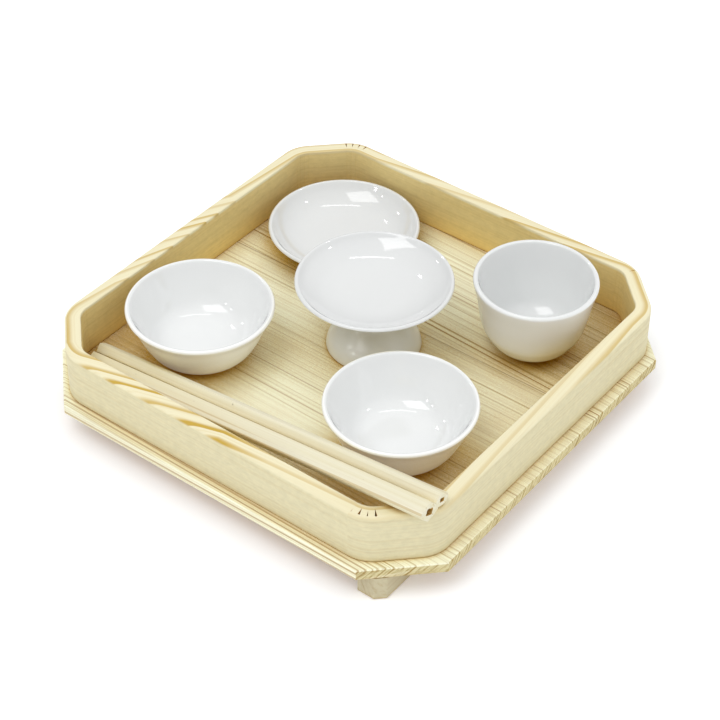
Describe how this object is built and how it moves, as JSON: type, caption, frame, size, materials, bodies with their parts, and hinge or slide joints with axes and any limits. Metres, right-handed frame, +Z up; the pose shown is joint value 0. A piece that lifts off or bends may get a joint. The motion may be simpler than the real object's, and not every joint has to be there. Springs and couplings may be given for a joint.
{
  "type": "buddhist offering tray",
  "caption": "Square footed tray of plain white wood with cut corners and a kerf-bent rim, set with small porcelain bowls, a cup, plates and hemp-stalk chopsticks.",
  "frame": {"origin": "middle of the base board, on the ground under the two runners", "axes": "+X to the right along the front edge, across the runners; +Y to the back; +Z up"},
  "size_m": [0.21, 0.208, 0.0553],
  "materials": {
    "white_wood_board": "planed, unfinished",
    "white_wood_rim": "planed, unfinished",
    "white_wood_feet": "planed, unfinished",
    "bamboo": "split and scraped",
    "white_porcelain": "clear glossy glaze",
    "hemp_stalk": "peeled, dry and matt"
  },
  "bodies": {
    "tray": {"base_board": "white_wood_board", "bent_rim": "white_wood_rim", "foot_right": "white_wood_feet", "foot_left": "white_wood_feet", "rim_peg_1": "bamboo", "rim_peg_2": "bamboo", "rim_peg_3": "bamboo", "rim_peg_4": "bamboo", "rim_peg_5": "bamboo", "rim_peg_6": "bamboo", "rim_peg_7": "bamboo", "rim_peg_8": "bamboo", "foot_peg_right_1": "bamboo", "foot_peg_right_2": "bamboo", "foot_peg_right_3": "bamboo", "foot_peg_left_1": "bamboo", "foot_peg_left_2": "bamboo", "foot_peg_left_3": "bamboo"},
    "rice_bowl": {"rice_bowl": "white_porcelain"},
    "soup_bowl": {"soup_bowl": "white_porcelain"},
    "deep_cup": {"deep_cup": "white_porcelain"},
    "shallow_dish": {"shallow_dish": "white_porcelain"},
    "stemmed_dish": {"stemmed_dish": "white_porcelain"},
    "near_chopstick": {"chopstick_near": "hemp_stalk"},
    "far_chopstick": {"chopstick_far": "hemp_stalk"}
  },
  "joints": [
    {"name": "rice_bowl_lift", "type": "slide", "parent": "tray", "child": "rice_bowl", "axis": [0, 0, 1], "range_m": [0, 0.045]},
    {"name": "soup_bowl_lift", "type": "slide", "parent": "tray", "child": "soup_bowl", "axis": [0, 0, 1], "range_m": [0, 0.045]},
    {"name": "deep_cup_lift", "type": "slide", "parent": "tray", "child": "deep_cup", "axis": [0, 0, 1], "range_m": [0, 0.045]},
    {"name": "shallow_dish_lift", "type": "slide", "parent": "tray", "child": "shallow_dish", "axis": [0, 0, 1], "range_m": [0, 0.045]},
    {"name": "stemmed_dish_lift", "type": "slide", "parent": "tray", "child": "stemmed_dish", "axis": [0, 0, 1], "range_m": [0, 0.045]},
    {"name": "near_chopstick_draw", "type": "slide", "parent": "tray", "child": "near_chopstick", "axis": [0.9888, -0.0357, 0.1446], "range_m": [0, 0.195]},
    {"name": "far_chopstick_draw", "type": "slide", "parent": "tray", "child": "far_chopstick", "axis": [0.9908, -0.0254, 0.1332], "range_m": [0, 0.195]}
  ]
}
